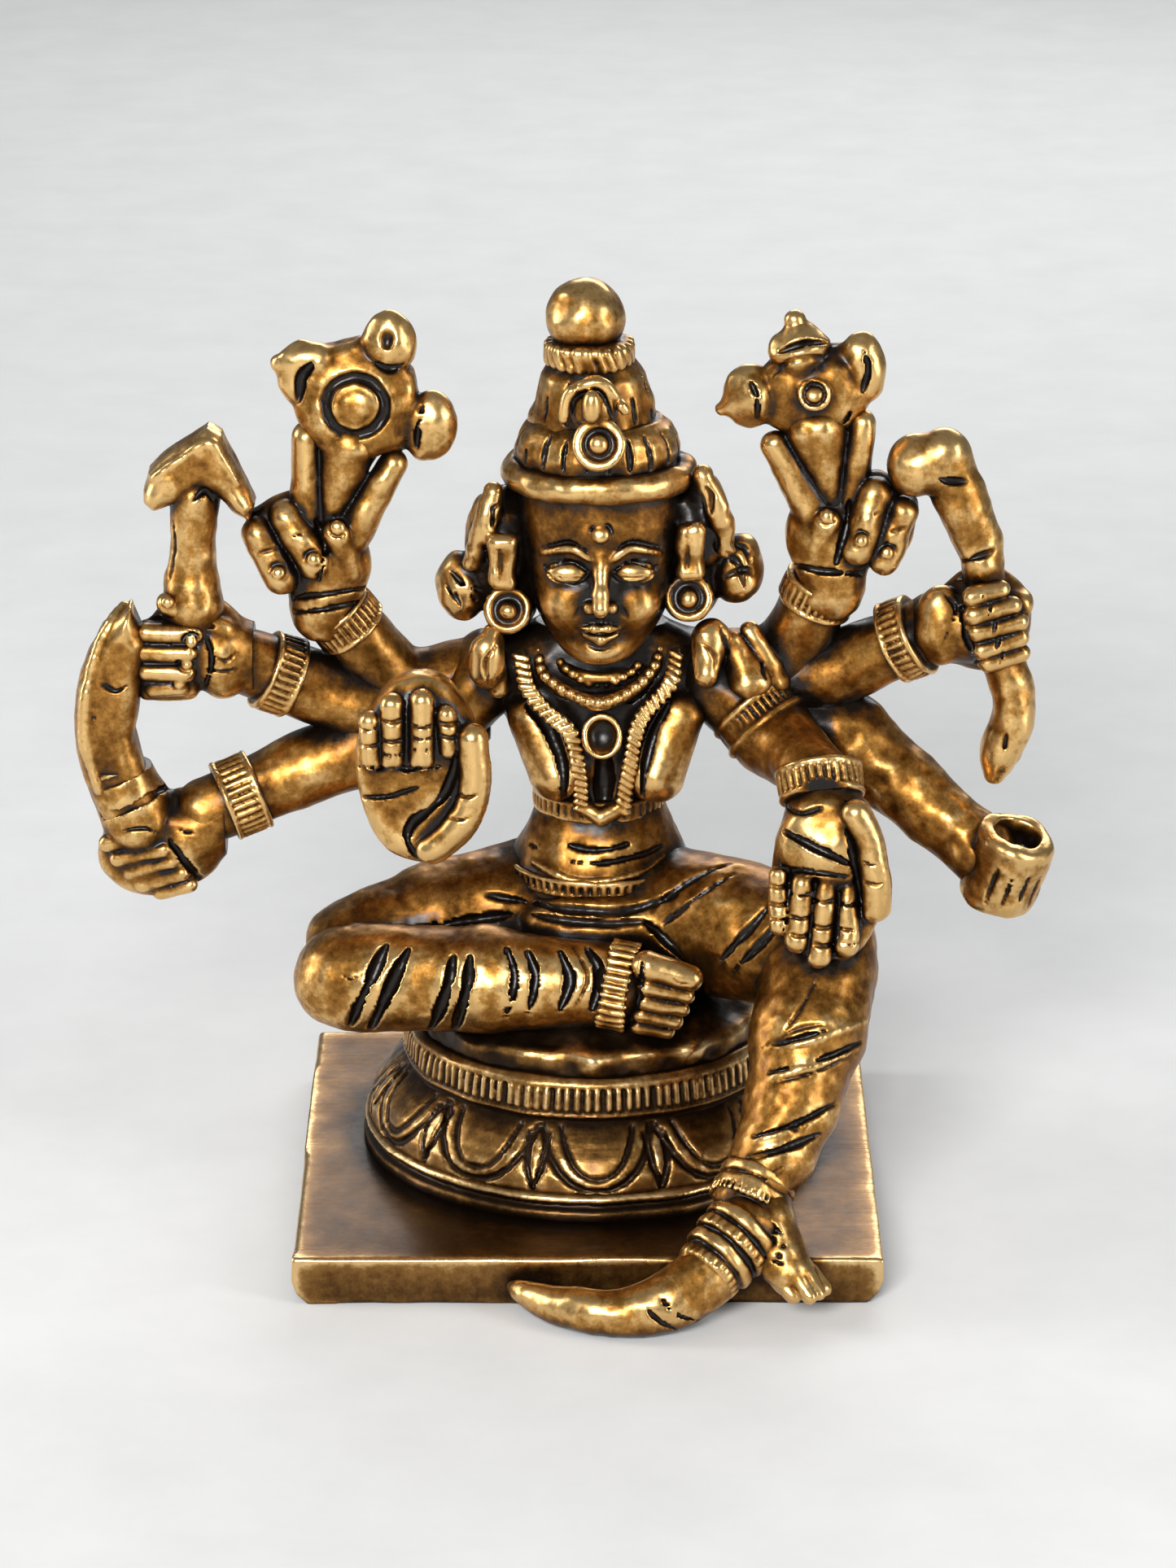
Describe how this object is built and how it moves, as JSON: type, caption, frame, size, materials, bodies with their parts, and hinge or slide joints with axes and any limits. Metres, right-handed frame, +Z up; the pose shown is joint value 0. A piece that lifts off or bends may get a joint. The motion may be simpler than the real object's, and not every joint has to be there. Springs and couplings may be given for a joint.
{
  "type": "seated deity figurine",
  "caption": "Small antiqued brass figurine of a many-armed seated deity on a round lotus pedestal and square plinth.",
  "frame": {"origin": "centre of the plinth's underside, on the surface that the figure stands on", "axes": "+X to the right of someone who faces the figure, +Y to the figure's back, +Z up"},
  "size_m": [0.0772, 0.0536, 0.0763],
  "materials": {
    "figure_brass": "hand-chased cast brass, dark brown patina in the recesses, high spots rubbed bright",
    "plinth_brass": "filed and brushed cast brass, dulled to brown, edges worn bright"
  },
  "bodies": {
    "root": {"plinth": "plinth_brass", "pedestal_bead_ring": "figure_brass", "seat": "figure_brass", "pedestal_foot_ring": "figure_brass", "lotus_petal_drum": "figure_brass", "discus": "figure_brass", "conch": "figure_brass", "axe": "figure_brass", "sword": "figure_brass", "bow": "figure_brass", "cup": "figure_brass", "blessing_hand": "figure_brass", "giving_hand": "figure_brass", "discus_hand": "figure_brass", "conch_hand": "figure_brass", "axe_hand": "figure_brass", "sword_hand": "figure_brass", "bow_hand": "figure_brass", "discus_bangle": "figure_brass", "axe_bangle": "figure_brass", "sword_bangle": "figure_brass", "conch_bangle": "figure_brass", "bow_bangle": "figure_brass", "giving_bangle": "figure_brass", "crown_ornament": "figure_brass", "crown_rope_ring": "figure_brass", "crown_finial": "figure_brass", "crown_band": "figure_brass", "crown_lower_tier": "figure_brass", "crown_upper_tier": "figure_brass", "earring_left": "figure_brass", "earring_right": "figure_brass", "pendant_ring": "figure_brass", "necklace": "figure_brass", "chest_cords": "figure_brass", "waist_belt": "figure_brass", "hip_belt": "figure_brass", "folded_anklet": "figure_brass", "folded_foot": "figure_brass", "pendant_anklet": "figure_brass", "footrest_lotus": "figure_brass", "pendant_foot": "figure_brass", "footrest_stem": "figure_brass", "shoulder_drop_left": "figure_brass", "shoulder_drops_right": "figure_brass", "ear_and_hair_left": "figure_brass", "ear_and_hair_right": "figure_brass", "head": "figure_brass", "pendant_shin": "figure_brass", "folded_shin": "figure_brass", "torso": "figure_brass", "blessing_arm": "figure_brass", "giving_arm": "figure_brass", "discus_arm": "figure_brass", "conch_arm": "figure_brass", "axe_arm": "figure_brass", "bow_arm": "figure_brass", "sword_arm": "figure_brass", "cup_arm": "figure_brass", "lap": "figure_brass"}
  },
  "joints": []
}
